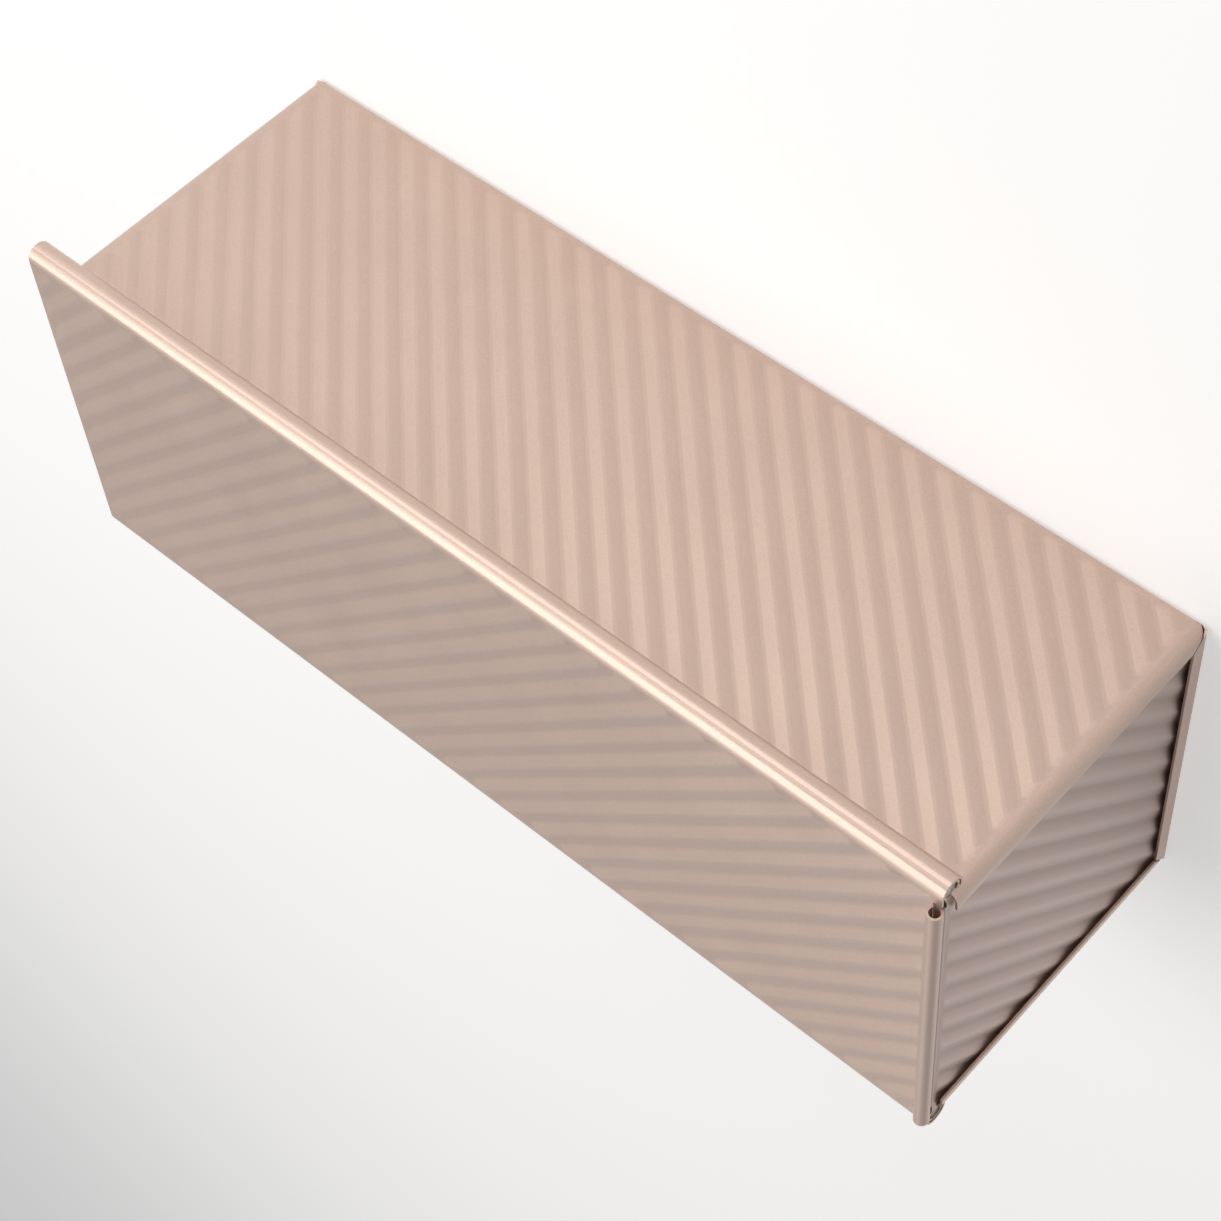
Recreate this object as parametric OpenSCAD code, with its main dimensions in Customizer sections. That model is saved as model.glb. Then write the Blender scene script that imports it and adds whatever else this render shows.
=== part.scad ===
// Pullman loaf pan of fluted steel sheet with a sliding lid.
// The pan stands on its base: X is its length, Y its width, Z is up.
// The origin is the middle of the base, on the plane that the pan rests on.

/* [Pan] */
// Outside length over the folds at the two ends
pan_length = 330; // [220:1:420]
// Outside width over the crests of the long sides
pan_width = 116; // [96:1:140]
// Height from the resting plane to the flat border of the closed lid
closed_height = 110.5; // [90:0.5:140]
// Outside radius of the long bends between base and sides
base_radius = 2; // [2:0.5:4]

/* [Sheet and flutes] */
// Thickness of the steel sheet
sheet = 0.7; // [0.6:0.05:0.8]
// Distance from crest to crest, measured along an edge of the pan
flute_spacing = 12; // [10:0.5:15]
// Height of a crest over the bottom of a flute
flute_depth = 0.7; // [0.5:0.1:1]
// Length over which a flute fades into the flat border
runout = 2; // [1.2:0.1:2.4]
// Plain margin between the cut edge of a sheet and its flutes
edge_gap = 0.5; // [0.3:0.1:1.5]

/* [Rolled rim] */
// Diameter of the steel wire that each long rim is rolled over
wire_d = 4.6; // [4:0.1:5]
// Play between the wire and the roll around it
wire_play = 0.1; // [0.05:0.05:0.2]
// Angle at which the free edge of the roll stops short of the side
roll_end = 230; // [220:1:236]

/* [End folds] */
// Width of the fold that lies over an end wall
fold_width = 6; // [5.5:0.1:8]
// Outside radius of the bend at the root of a fold on the sides
fold_radius = 4; // [3.5:0.1:4.5]
// Outside radius of the tighter bend at the root of the fold on the base
lip_radius = 1.5; // [1:0.1:2]
// Open slit where two folds meet at a corner
mitre_slit = 0.8; // [0.4:0.1:1.2]
// Depth from the outside of a fold to the crests of the end wall
end_recess = 1.4; // [1.2:0.1:1.5]

/* [End walls] */
// Height of the doubled edge along the top of an end wall
hem_height = 2.2; // [1.6:0.1:3]
// Drop from the underside of the lid crests to the top of an end wall
end_drop = 0.7; // [0.5:0.1:2]

/* [Lid] */
// Length by which the lid stands out past the pan at its plain end
lid_overhang = 9; // [4:0.5:14]
// Play between a rolled rim and the channel that slides on it
slide_play = 0.3; // [0.3:0.05:0.5]
// Distance from the outside of an end fold back to the cut end of a channel
channel_setback = 1.5; // [1:0.1:1.6]
// Angle below the level line at which the free edge of a channel stops
channel_end = -112; // [-116:1:-100]
// Outside diameter of the curl that serves as the grip
grip_d = 4.6; // [4.2:0.1:6]
// Angle at which the free edge of the grip curl stops over the lid
grip_end = 215; // [190:1:218]
// Distance from the middle of a channel back to the end of the grip
grip_gap = 4; // [3:0.1:6]
// Width of the slot cut between the grip and a channel
grip_notch = 0.8; // [0.5:0.1:1]

/* [Hidden] */
$fn = 64;

// Small distance by which a cutter passes the surface that it cuts
over = 1;
// Small step that keeps two near faces from lying in one plane
clear = 0.05;

// Flutes: flat slopes that meet in narrow tips, with a shoulder facet between.
// Places are parts of the pitch and levels are parts of the depth.
pitch = flute_spacing / sqrt(2);
tip = 0.04;
shoulder = 0.08;
shoulder_level = (0.25 - shoulder) / (0.5 - shoulder - tip);
flute_points = [
    [-tip, 0.5],
    [tip, 0.5],
    [shoulder, shoulder_level],
    [0.5 - shoulder, -shoulder_level],
    [0.5 - tip, -0.5],
    [0.5 + tip, -0.5],
    [0.5 + shoulder, -shoulder_level],
    [1 - shoulder, shoulder_level]
];
crest = flute_depth / 2 + sheet / 2;

// Middle of the sheet on each face of the pan
half_width = pan_width / 2;
half_length = pan_length / 2;
base_mid = crest;
side_mid = half_width - crest;
lid_mid = closed_height - sheet / 2;
border_out = side_mid + sheet / 2;
border_low = base_mid - sheet / 2;

// Rolled rim and the channel around it share one centre
roll_in = wire_d / 2 + wire_play;
roll_out = roll_in + sheet;
channel_in = roll_out + slide_play;
channel_out = channel_in + sheet;
roll_y = side_mid - sheet / 2 + roll_out;
roll_z = closed_height - channel_out;
channel_x = half_length - channel_setback;
wire_setback = 0.4;
// Height of the cut between a side fold and the rolled rim above it
corner_gap = 0.4;

// Folds and end walls
bend_x = half_length - fold_radius;
side_top = roll_z - roll_out;
fold_top = roll_z - corner_gap;
end_mid = half_length - end_recess - crest;
end_top = lid_mid - crest - end_drop;
end_face = end_mid + sheet / 2;
// Height inside the fold bend at which the edge of the end wall touches
seat = sqrt(pow(fold_radius - sheet, 2) - pow(end_face - bend_x, 2));
end_half_width = border_out - fold_radius + seat - clear;
end_low = border_low + sheet + clear;
end_corner = 3;
end_shoulder = fold_top + clear;
hem_notch = 2;

// The rolled rims end flush with the outside of the end walls
roll_x = end_face;

// Flute fields on each face
side_field_low = border_low + base_radius;
side_field_high = side_top - over;
field_x = bend_x - clear;
end_field_y = end_half_width - edge_gap;
end_field_low = end_low + edge_gap;
end_field_high = end_top - sheet - edge_gap;
lid_left = -half_length - lid_overhang;
lid_field_left = lid_left + edge_gap;
grip_x = half_length - grip_d / 2 - clear;
lid_field_right = grip_x - grip_d / 2;
grip_notch_x = lid_field_right + edge_gap;
lid_field_y = roll_y - edge_gap;
grip_half = roll_y - grip_gap;

// Cross-section of the fluted sheet, from one side of the field to the other
module flute_profile(span, shift) {
    count = ceil(span / pitch / 2);
    start = shift / sqrt(2);
    wave = [for (i = [-count : count - 1]) for (p = flute_points)
        [start + (i + p[0]) * pitch, p[1] * flute_depth]
    ];
    top = [for (p = wave) [p[0], p[1] + sheet / 2]];
    low = [for (i = [len(wave) - 1 : -1 : 0]) [wave[i][0], wave[i][1] - sheet / 2]];
    polygon(concat(top, low));
}

// Outline in side view that lets the flutes fade out towards both ends
module runout_profile(width) {
    far = width / 2;
    near = far - runout;
    tall = crest + clear;
    thin = sheet / 2 - clear;
    polygon([
        [-far, -thin],
        [-near, -tall],
        [near, -tall],
        [far, -thin],
        [far, thin],
        [near, tall],
        [-near, tall],
        [-far, thin]
    ]);
}

// Fluted field in the XY plane, outside up, with flutes along X = Y.
// One crest crosses the X axis at shift.
module fluted_field(width, height, shift) {
    run = (width + height) / sqrt(2);
    intersection() {
        rotate([0, 0, -45])
            rotate([90, 0, 0])
                linear_extrude(height = run, center = true)
                    flute_profile(run + 2 * pitch, shift);
        rotate([90, 0, 0])
            linear_extrude(height = height + over, center = true)
                runout_profile(width);
        rotate([0, 0, 90])
            rotate([90, 0, 0])
                linear_extrude(height = width + over, center = true)
                    runout_profile(height);
    }
}

// Side view of the window in the plain sheet behind a fluted field. The sheet
// thins to a blunt tip at its edge, so that hollows fade out as crests do.
module window_profile(width) {
    far = width / 2;
    near = far - runout;
    tall = crest + over;
    thin = max(flute_depth / 2 - sheet / 2, 0) + clear;
    polygon([
        [-far, -tall],
        [far, -tall],
        [far, -sheet / 2],
        [near, -thin],
        [near, thin],
        [far, sheet / 2],
        [far, tall],
        [-far, tall],
        [-far, sheet / 2],
        [-near, thin],
        [-near, -thin],
        [-far, -sheet / 2]
    ]);
}

// Window in the plain sheet behind a fluted field
module field_window(width, height) {
    intersection() {
        rotate([90, 0, 0])
            linear_extrude(height = height + over, center = true)
                window_profile(width);
        rotate([0, 0, 90])
            rotate([90, 0, 0])
                linear_extrude(height = width + over, center = true)
                    window_profile(height);
    }
}

// Ring with a missing sector between two angles, for curled sheet
module curl_profile(outer, inner, from, to) {
    reach = 2 * outer;
    turn = (to - from) / 4;
    difference() {
        circle(r = outer);
        circle(r = inner);
        polygon(concat([[0, 0]], [for (i = [0 : 4])
            reach * [cos(from + i * turn), sin(from + i * turn)]
        ]));
    }
}

// Half of the plain body section on the +Y side, as seen along X
module body_half_profile() {
    corner = border_out - base_radius;
    bend_z = border_low + base_radius;
    translate([-over, border_low])
        square([corner + over, sheet]);
    translate([corner, bend_z])
        intersection() {
            difference() {
                circle(r = base_radius);
                circle(r = base_radius - sheet);
            }
            translate([0, -2 * base_radius])
                square(2 * base_radius);
        }
    translate([border_out - sheet, bend_z])
        square([sheet, roll_z - bend_z]);
}

// Rolled rim on the +Y side and the narrow strip that it starts from
module rim_half_profile() {
    translate([border_out - sheet, roll_z - corner_gap / 2])
        square([sheet, corner_gap / 2]);
    translate([roll_y, roll_z])
        curl_profile(roll_out, roll_in, 180, roll_end);
}

// Plain body sheet before fluting: base and sides, then the longer rims
module body_shell() {
    rotate([90, 0, 90]) {
        linear_extrude(height = 2 * bend_x, center = true) {
            body_half_profile();
            mirror([1, 0])
                body_half_profile();
        }
        linear_extrude(height = 2 * roll_x, center = true) {
            rim_half_profile();
            mirror([1, 0])
                rim_half_profile();
        }
    }
}

// Places a field on the base, flutes along X = Y
module on_base() {
    translate([0, 0, base_mid])
        mirror([0, 0, 1])
            children();
}

// Places a field on the front side, outside towards +Y, flutes along X = Z
module on_front() {
    translate([0, side_mid, (side_field_low + side_field_high) / 2])
        rotate([90, 0, 0])
            mirror([0, 0, 1])
                children();
}

// Places a field on the back side, outside towards -Y
module on_back() {
    translate([0, -side_mid, (side_field_low + side_field_high) / 2])
        rotate([90, 0, 0])
            mirror([1, 0, 0])
                children();
}

// Section of one end fold: bend and flat lip, with the bend's start at X = 0
module fold_profile(radius) {
    intersection() {
        difference() {
            circle(r = radius);
            circle(r = radius - sheet);
        }
        square(2 * radius);
    }
    translate([radius - sheet, radius - fold_width])
        square([sheet, fold_width - radius]);
}

// Keeps what lies above the mitre line of the corner at +Y
module mitre_wedge(reach) {
    rotate([90, 0, 90])
        linear_extrude(height = 2 * fold_radius, center = true)
            polygon([
                [border_out + over, border_low - over + mitre_slit / 2],
                [border_out - reach, border_low + reach + mitre_slit / 2],
                [border_out - reach, fold_top],
                [border_out + over, fold_top]
            ]);
}

// Fold along one long side's end edge, at the +X +Y corner
module side_fold() {
    intersection() {
        translate([bend_x, border_out - fold_radius, 0])
            linear_extrude(height = fold_top)
                fold_profile(fold_radius);
        translate([half_length, 0, 0])
            mitre_wedge(fold_width + over);
    }
}

// Fold along the base's end edge, at the +X end, with the base sheet up to it
module base_fold() {
    lip_x = half_length - lip_radius;
    intersection() {
        union() {
            translate([lip_x, 0, border_low + lip_radius])
                rotate([-90, 0, 0])
                    linear_extrude(height = 2 * border_out, center = true)
                        fold_profile(lip_radius);
            translate([bend_x - over, -border_out, border_low])
                cube([lip_x - bend_x + over, 2 * border_out, sheet]);
        }
        rotate([90, 0, 90])
            linear_extrude(height = half_length + over)
                polygon([
                    [-border_out + mitre_slit / 2, border_low],
                    [border_out - mitre_slit / 2, border_low],
                    [border_out - fold_width - over - mitre_slit / 2, border_low + fold_width + over],
                    [-border_out + fold_width + over + mitre_slit / 2, border_low + fold_width + over]
                ]);
    }
}

// Rounded outline of the body, which trims the folds at the base corners
module body_outline() {
    rotate([90, 0, 90])
        linear_extrude(height = half_length + over) {
            translate([-border_out, border_low + base_radius])
                square([2 * border_out, closed_height]);
            translate([-border_out + base_radius, border_low])
                square([2 * (border_out - base_radius), closed_height]);
            for (side = [-1, 1])
                translate([side * (border_out - base_radius), border_low + base_radius])
                    circle(r = base_radius);
        }
}

// The three folds at the +X end
module end_folds() {
    intersection() {
        body_outline();
        union() {
            base_fold();
            side_fold();
            mirror([0, 1, 0])
                side_fold();
        }
    }
}

module pan_body() {
    side_height = side_field_high - side_field_low;
    base_width = 2 * (border_out - base_radius);
    color("#c9b0a0") {
        difference() {
            body_shell();
            on_base()
                field_window(2 * field_x, base_width);
            on_front()
                field_window(2 * field_x, side_height);
            on_back()
                field_window(2 * field_x, side_height);
        }
        on_base()
            fluted_field(2 * field_x, base_width, 0);
        on_front()
            fluted_field(2 * field_x, side_height, 0);
        on_back()
            fluted_field(2 * field_x, side_height, 0);
        end_folds();
        mirror([1, 0, 0])
            end_folds();
    }
}

// Plain outline of an end wall, in Y and Z
module end_outline() {
    translate([-end_half_width, end_low + end_corner])
        square([2 * end_half_width, end_top - sheet - end_low - end_corner]);
    translate([-end_half_width + end_corner, end_low])
        square([2 * (end_half_width - end_corner), end_corner]);
    for (side = [-1, 1])
        translate([side * (end_half_width - end_corner), end_low + end_corner])
            circle(r = end_corner);
    translate([-border_out + sheet + clear, end_shoulder])
        square([2 * (border_out - sheet - clear), end_top - sheet - end_shoulder]);
}

// Section of the doubled top edge, folded inwards, in X and Z
module hem_profile() {
    translate([end_mid - 3 * sheet / 2, end_top - hem_height])
        square([2 * sheet, hem_height - sheet]);
    translate([end_mid - sheet / 2, end_top - sheet])
        circle(r = sheet);
}

// End wall at the +X end: fluted plate with a doubled top edge
module end_wall() {
    field_height = end_field_high - end_field_low;
    field_mid = (end_field_high + end_field_low) / 2;
    difference() {
        translate([end_mid, 0, 0])
            rotate([90, 0, 90])
                linear_extrude(height = sheet, center = true)
                    end_outline();
        translate([end_mid, 0, field_mid])
            rotate([90, 0, 90])
                field_window(2 * end_field_y, field_height);
    }
    translate([end_mid, 0, field_mid])
        rotate([90, 0, 90])
            fluted_field(2 * end_field_y, field_height, 0);
    rotate([90, 0, 0])
        linear_extrude(height = 2 * (end_half_width - hem_notch), center = true)
            hem_profile();
}

module end_wall_left() {
    color("#a8938a")
        rotate([0, 0, 180])
            end_wall();
}

module end_wall_right() {
    color("#a8938a")
        end_wall();
}

// Straight wire inside one rolled rim
module rim_wire() {
    translate([0, roll_y, roll_z])
        rotate([0, 90, 0])
            cylinder(d = wire_d, h = 2 * (roll_x - wire_setback), center = true);
}

module rim_wire_front() {
    color("#8f8f92")
        rim_wire();
}

module rim_wire_back() {
    color("#8f8f92")
        mirror([0, 1, 0])
            rim_wire();
}

// Half of the lid section: flat top and the channel under its edge
module lid_half_profile() {
    translate([-over, closed_height - sheet])
        square([roll_y + over, sheet]);
    translate([roll_y, roll_z])
        curl_profile(channel_out, channel_in, 90, 360 + channel_end);
}

// Part of the lid section that runs on past the slot beside the grip
module lid_end_profile() {
    intersection() {
        lid_half_profile();
        translate([grip_half + grip_notch, 0])
            square([half_width, closed_height]);
    }
}

// Section of the end curl that is pulled to slide the lid
module grip_profile() {
    curl_profile(grip_d / 2, grip_d / 2 - sheet, grip_end, 270);
}

module lid() {
    field_width = lid_field_right - lid_field_left;
    field_mid = (lid_field_right + lid_field_left) / 2;
    color("#b9a296") {
        difference() {
            translate([lid_left, 0, 0])
                rotate([90, 0, 90])
                    linear_extrude(height = grip_notch_x - lid_left) {
                        lid_half_profile();
                        mirror([1, 0])
                            lid_half_profile();
                    }
            translate([field_mid, 0, lid_mid])
                field_window(field_width, 2 * lid_field_y);
        }
        translate([field_mid, 0, lid_mid])
            fluted_field(field_width, 2 * lid_field_y, 0);
        translate([grip_notch_x - over, -grip_half, closed_height - sheet])
            cube([grip_x - grip_notch_x + over, 2 * grip_half, sheet]);
        translate([grip_notch_x - over, 0, 0])
            rotate([90, 0, 90])
                linear_extrude(height = channel_x - grip_notch_x + over) {
                    lid_end_profile();
                    mirror([1, 0])
                        lid_end_profile();
                }
        translate([grip_x, 0, closed_height - sheet + grip_d / 2])
            rotate([90, 0, 0])
                linear_extrude(height = 2 * grip_half, center = true)
                    grip_profile();
    }
}

pan_body();
end_wall_left();
end_wall_right();
rim_wire_front();
rim_wire_back();
lid();
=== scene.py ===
# Pullman loaf pan of fluted, champagne coated steel, with a sliding lid.
# Metres, with the origin at the middle of the base, X along the pan, Z up.
import math

import bpy
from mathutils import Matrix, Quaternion, Vector


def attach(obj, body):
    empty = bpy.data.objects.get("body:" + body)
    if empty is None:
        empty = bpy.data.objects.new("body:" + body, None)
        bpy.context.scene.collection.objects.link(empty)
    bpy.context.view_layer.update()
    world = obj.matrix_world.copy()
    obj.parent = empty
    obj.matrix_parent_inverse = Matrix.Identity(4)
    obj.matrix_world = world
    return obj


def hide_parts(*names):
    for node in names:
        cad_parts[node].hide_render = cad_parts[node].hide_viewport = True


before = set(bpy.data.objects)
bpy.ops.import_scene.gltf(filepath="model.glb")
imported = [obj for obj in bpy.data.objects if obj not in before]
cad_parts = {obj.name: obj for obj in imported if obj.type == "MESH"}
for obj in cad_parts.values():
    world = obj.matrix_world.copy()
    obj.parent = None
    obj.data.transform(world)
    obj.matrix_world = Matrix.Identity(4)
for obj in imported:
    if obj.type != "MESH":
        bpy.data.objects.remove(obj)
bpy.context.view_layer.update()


# Pan body: one sheet of coated steel, fluted slantwise, bent up into base and
# sides, with its long edges rolled over wires and its end edges folded over
# the end walls. Its shape is the solid's, with the facets shaded as one curve.
class Shade:
    """A shader socket that sums can be written on, and that makes other nodes."""

    def __init__(self, tree, socket=None):
        self.tree = tree
        self.socket = socket

    def node(self, kind, settings, inputs, out=0):
        made = self.tree.nodes.new(kind)
        for key, value in settings.items():
            setattr(made, key, value)
        for key, value in inputs.items():
            if isinstance(value, Shade):
                self.tree.links.new(value.socket, made.inputs[key])
            else:
                made.inputs[key].default_value = value
        return Shade(self.tree, made.outputs[out] if made.outputs else None)

    def reckon(self, operation, first, second):
        return self.node(
            "ShaderNodeMath", {"operation": operation}, {0: first, 1: second}
        )

    def __add__(self, other):
        return self.reckon("ADD", self, other)

    def __radd__(self, other):
        return self.reckon("ADD", other, self)

    def __sub__(self, other):
        return self.reckon("SUBTRACT", self, other)

    def __rsub__(self, other):
        return self.reckon("SUBTRACT", other, self)

    def __mul__(self, other):
        return self.reckon("MULTIPLY", self, other)

    def __rmul__(self, other):
        return self.reckon("MULTIPLY", other, self)


def blank_tree(owner):
    """Empties the nodes of a material or a world, and returns a Shade to fill them."""
    owner.use_nodes = True
    owner.node_tree.nodes.clear()
    return Shade(owner.node_tree)


def coating(name, tone, painted_crest_light):
    """Champagne bake coating: mica speckle, a little cloudy, with painted highlight on
    the crests.

    The colour keeps round the tone. The last argument sets how strongly the crests are
    painted lighter as painted highlight and the hollows darker as painted shade.
    """
    material = bpy.data.materials.new(name)
    shade = blank_tree(material)
    place = shade.node("ShaderNodeTexCoord", {}, {}, "Object")

    def noise(scale, detail):
        inputs = {"Vector": place, "Scale": scale, "Detail": detail}
        return shade.node("ShaderNodeTexNoise", {}, inputs)

    # Cells of half a millimetre, 26 mm and 1.6 mm. They and the crest mark run
    # from 0 to 1, so 0.5 taken off leaves each one swinging about nothing.
    grain = noise(1900.0, 2.0)
    cloud = noise(38.0, 3.0)
    peel = noise(620.0, 2.0)
    crest = shade.node("ShaderNodeAttribute", {"attribute_name": "crest"}, {}, "Fac")

    # From a deep tone to a pale one, which is also a little cooler.
    grain_share, cloud_share = 0.85, 0.3
    paleness = (
        0.5
        + (grain - 0.5) * grain_share
        + (cloud - 0.5) * cloud_share
        # Painted light: crests paler as painted highlight, hollows darker as painted
        # shade.
        + (crest - 0.5) * painted_crest_light
    )
    deep = [part * level for part, level in zip(tone, (0.86, 0.85, 0.84))]
    pale = [part * level for part, level in zip(tone, (1.14, 1.15, 1.16))]
    # A Mix node's colour sockets share their names with others, so their places
    # among its sockets pick them.
    colour_a, colour_b, colour_out = 6, 7, 2
    colour = shade.node(
        "ShaderNodeMix",
        {"data_type": "RGBA"},
        {"Factor": paleness, colour_a: (*deep, 1), colour_b: (*pale, 1)},
        colour_out,
    )

    # Satin all over: rougher where grain and cloud are pale, smoother on crests.
    satin, cloud_rough, grain_rough, crest_smooth = 0.4, 0.08, 0.1, 0.06
    rough = (
        satin
        + (cloud - 0.5) * cloud_rough
        + (grain - 0.5) * grain_rough
        - (crest - 0.5) * crest_smooth
    )
    film_relief = 0.00006
    film = shade.node(
        "ShaderNodeBump",
        {},
        {
            "Strength": 0.12,
            "Distance": film_relief,
            "Height": peel * 0.6 + grain * 0.4,
        },
    )
    surface = shade.node(
        "ShaderNodeBsdfPrincipled",
        {},
        {"Base Color": colour, "Metallic": 0.6, "Roughness": rough, "Normal": film},
    )
    shade.node("ShaderNodeOutputMaterial", {}, {"Surface": surface})
    return material


def formed_sheet(name, node):
    """Copy of a solid's mesh: doubles merged, crests marked, flutes shaded smooth."""
    weld_distance = 0.000001
    smooth_angle = math.radians(30)
    flat_reach = 0.001
    piece = bpy.data.objects.new(name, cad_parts[node].data.copy())
    piece.data.materials.clear()
    bpy.context.scene.collection.objects.link(piece)
    bpy.ops.object.select_all(action="DESELECT")
    piece.select_set(True)
    bpy.context.view_layer.objects.active = piece
    bpy.ops.object.mode_set(mode="EDIT")
    bpy.ops.mesh.select_all(action="SELECT")
    bpy.ops.mesh.remove_doubles(threshold=weld_distance)
    bpy.ops.object.mode_set(mode="OBJECT")

    # A corner that all its edges fall away from is on a crest, and is marked 1.
    # One that they all rise from lies in a hollow (0), and a flat one gets 0.5.
    corners = piece.data.vertices
    bend, reach = [0.0] * len(corners), [0.0] * len(corners)
    for edge in piece.data.edges:
        first, second = edge.vertices
        for here, there in ((first, second), (second, first)):
            along = (corners[there].co - corners[here].co).normalized()
            drop = -along.dot(corners[here].normal)
            bend[here] += drop
            reach[here] += abs(drop)
    crest = piece.data.attributes.new("crest", "FLOAT", "POINT")
    for mark, bent, reached in zip(crest.data, bend, reach):
        mark.value = 0.5 + 0.5 * bent / reached if reached > flat_reach else 0.5

    bpy.ops.object.shade_smooth_by_angle(angle=smooth_angle)
    evener = piece.modifiers.new("Even shading", "WEIGHTED_NORMAL")
    evener.keep_sharp = True
    bpy.ops.object.modifier_apply(modifier=evener.name)
    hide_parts(node)
    return piece


# A small crest share: faint painted highlight on the crests and painted shade in the
# hollows.
champagne = coating("champagne_coating", tone=(0.66, 0.495, 0.415), painted_crest_light=0.1)
pan_body = formed_sheet("fluted_pan_body", "pan_body")
pan_body.data.materials.append(champagne)
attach(pan_body, "pan")


# End walls: two fluted plates with a doubled top edge, held on three sides by
# the folded edges of the body. They have a shaded copy of the body's coating:
# a darker tone as painted shade, and a strong painted highlight on the crests
# with painted shade in the hollows.
# The darker tone is painted shade; the strong crest share paints highlight on the
# crests and shade in the hollows.
end_champagne_painted_shade = coating("end_wall_champagne_painted_shade", tone=(0.54, 0.41, 0.36), painted_crest_light=0.8)
for side in ("left", "right"):
    wall = formed_sheet("fluted_end_wall_" + side, "end_wall_" + side)
    wall.data.materials.append(end_champagne_painted_shade)
    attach(wall, "pan")


# Rim wires: straight drawn steel wires that stiffen the rolled long edges.
# Only their cut ends show, inside the rolls.
def drawn_steel(name):
    """Bare drawn wire, with fine grooves along it that its gloss follows."""
    material = bpy.data.materials.new(name)
    shade = blank_tree(material)
    place = shade.node("ShaderNodeTexCoord", {}, {}, "Object")
    # Grooves 50 mm long and a quarter of a millimetre apart.
    stretch = {"Vector": place, "Scale": (20.0, 4000.0, 4000.0)}
    along = shade.node("ShaderNodeMapping", {}, stretch)
    grooves = shade.node(
        "ShaderNodeTexNoise", {}, {"Vector": along, "Scale": 1.0, "Detail": 2.0}
    )
    groove_relief = 0.00003
    relief = shade.node(
        "ShaderNodeBump",
        {},
        {"Strength": 0.3, "Distance": groove_relief, "Height": grooves},
    )
    smoothest, groove_rough = 0.3, 0.2
    surface = shade.node(
        "ShaderNodeBsdfPrincipled",
        {},
        {
            "Base Color": (0.42, 0.41, 0.4, 1),
            "Metallic": 1.0,
            "Roughness": smoothest + grooves * groove_rough,
            "Normal": relief,
        },
    )
    shade.node("ShaderNodeOutputMaterial", {}, {"Surface": surface})
    return material


steel = drawn_steel("drawn_steel")
for side in ("front", "back"):
    wire = formed_sheet("rim_wire_" + side + "_drawn", "rim_wire_" + side)
    wire.data.materials.append(steel)
    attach(wire, "pan")


# Lid: fluted sheet whose long edges are curled into channels that slide on
# the rolled rims, with one end curled up into a grip.
lid = formed_sheet("fluted_sliding_lid", "lid")
lid.data.materials.append(champagne)
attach(lid, "lid")


# Camera: seen from above the front right corner, rolled so that the front
# side is up, as in the photograph. Lens, place, aim and roll come from a fit
# to eleven corner points of the photograph.
camera_place = Vector((0.3618, 0.6555, 0.399))
camera_aim = Vector((0.01079, 0, 0.06596))
camera_roll = math.radians(-133.07)
camera = bpy.data.objects.new("camera", bpy.data.cameras.new("camera"))
bpy.context.scene.collection.objects.link(camera)
camera.data.sensor_width = 36
camera.data.lens = 83.2
camera.data.clip_start, camera.data.clip_end = 0.05, 60
camera.rotation_mode = "QUATERNION"
camera.location = camera_place
upright = (camera_place - camera_aim).to_track_quat("Z", "Y")
camera.rotation_quaternion = upright @ Quaternion((0, 0, 1), camera_roll)
bpy.context.scene.camera = camera


# Floor: a plain pale table top, lifted towards white where it is looked at or
# mirrored, so that it stays pale and keeps the pan's shadow.
def lifted(shade, lift):
    """Strength that is lift for camera, glossy and transmission rays, else 0."""
    seen = shade.node("ShaderNodeLightPath", {}, {}, "Is Camera Ray")
    mirrored = shade.node("ShaderNodeLightPath", {}, {}, "Is Glossy Ray")
    through = shade.node("ShaderNodeLightPath", {}, {}, "Is Transmission Ray")
    return (seen + mirrored + through) * lift


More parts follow.
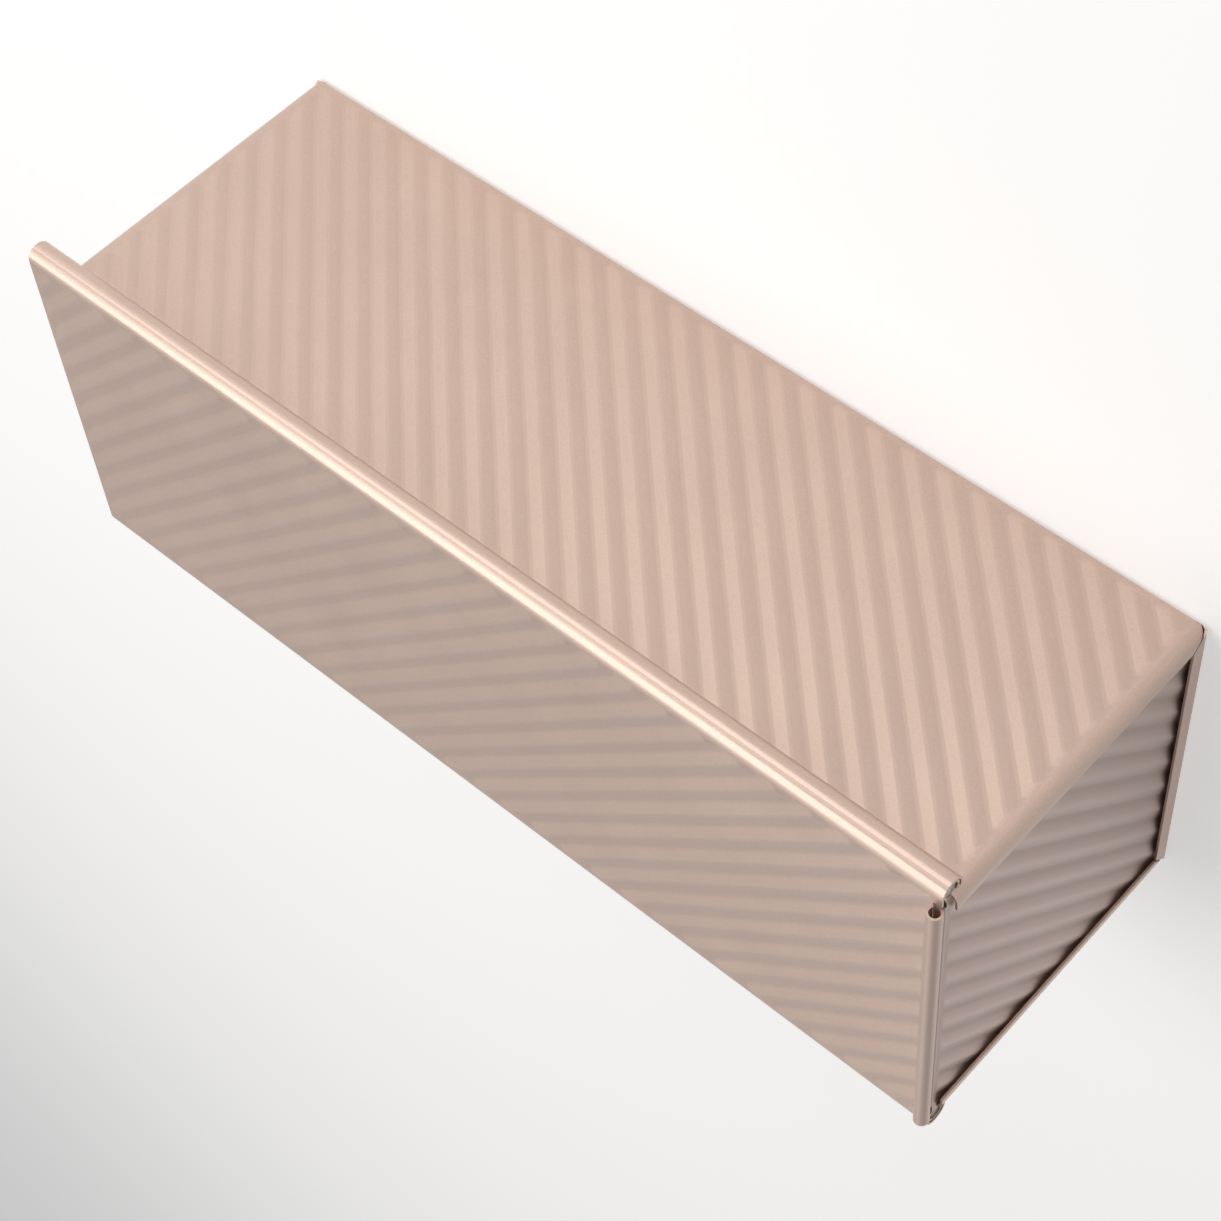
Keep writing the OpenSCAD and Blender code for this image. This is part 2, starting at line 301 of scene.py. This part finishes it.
just_below_base = -0.0002
bpy.ops.object.select_all(action="DESELECT")
bpy.ops.mesh.primitive_circle_add(
    vertices=96, radius=9, fill_type="NGON", location=(0, 0, just_below_base)
)
floor = bpy.context.active_object
floor.name = "floor"
pale_floor = bpy.data.materials.new("pale_floor")
shade = blank_tree(pale_floor)
matt = shade.node("ShaderNodeBsdfDiffuse", {}, {"Color": (0.7, 0.7, 0.7, 1)})
glow = shade.node(
    "ShaderNodeEmission", {}, {"Color": (1, 1, 1, 1), "Strength": lifted(shade, 0.5)}
)
whole = shade.node("ShaderNodeAddShader", {}, {0: matt, 1: glow})
shade.node("ShaderNodeOutputMaterial", {}, {"Surface": whole})
floor.data.materials.append(pale_floor)


# Studio light: a wide soft box overhead for the highlight along the lid's edge,
# three low ones in front for the flutes of the long side, two weak ones behind,
# and an even pale room round them. Every box faces the middle of the pan.
def soft_box(name, place, power, size=(0.8, 0.8)):
    """Area light with a faintly warm colour, turned to the middle of the pan."""
    lamp = bpy.data.objects.new(name, bpy.data.lights.new(name, "AREA"))
    bpy.context.scene.collection.objects.link(lamp)
    lamp.data.shape = "RECTANGLE"
    lamp.data.size, lamp.data.size_y = size
    lamp.data.energy = power
    lamp.data.color = (1, 0.975, 0.945)
    lamp.location = place
    lamp.rotation_mode = "QUATERNION"
    pan_middle = Vector((0, 0, 0.06))
    lamp.rotation_quaternion = (Vector(place) - pan_middle).to_track_quat("Z", "Y")


soft_box("overhead_light", (-0.6, 0.3, 1.35), power=15.5, size=(1.3, 1.5))
soft_box("low_light", (-0.74, 1.29, 0.27), power=4.6)
soft_box("front_light", (0, 1.49, 0.27), power=3.8)
soft_box("right_light", (0.74, 1.29, 0.27), power=1.5)
soft_box("back_light", (-0.25, -0.85, 1.29), power=1.3)
soft_box("low_back_light", (0.1, -1.3, 0.81), power=0.5)

world = bpy.data.worlds.new("pale_room")
bpy.context.scene.world = world
shade = blank_tree(world)
room_glow = 0.06
room = shade.node(
    "ShaderNodeBackground",
    {},
    {"Color": (0.94, 0.97, 1, 1), "Strength": room_glow + lifted(shade, 0.5)},
)
shade.node("ShaderNodeOutputWorld", {}, {"Surface": room})
bpy.context.scene.view_settings.view_transform = "Standard"
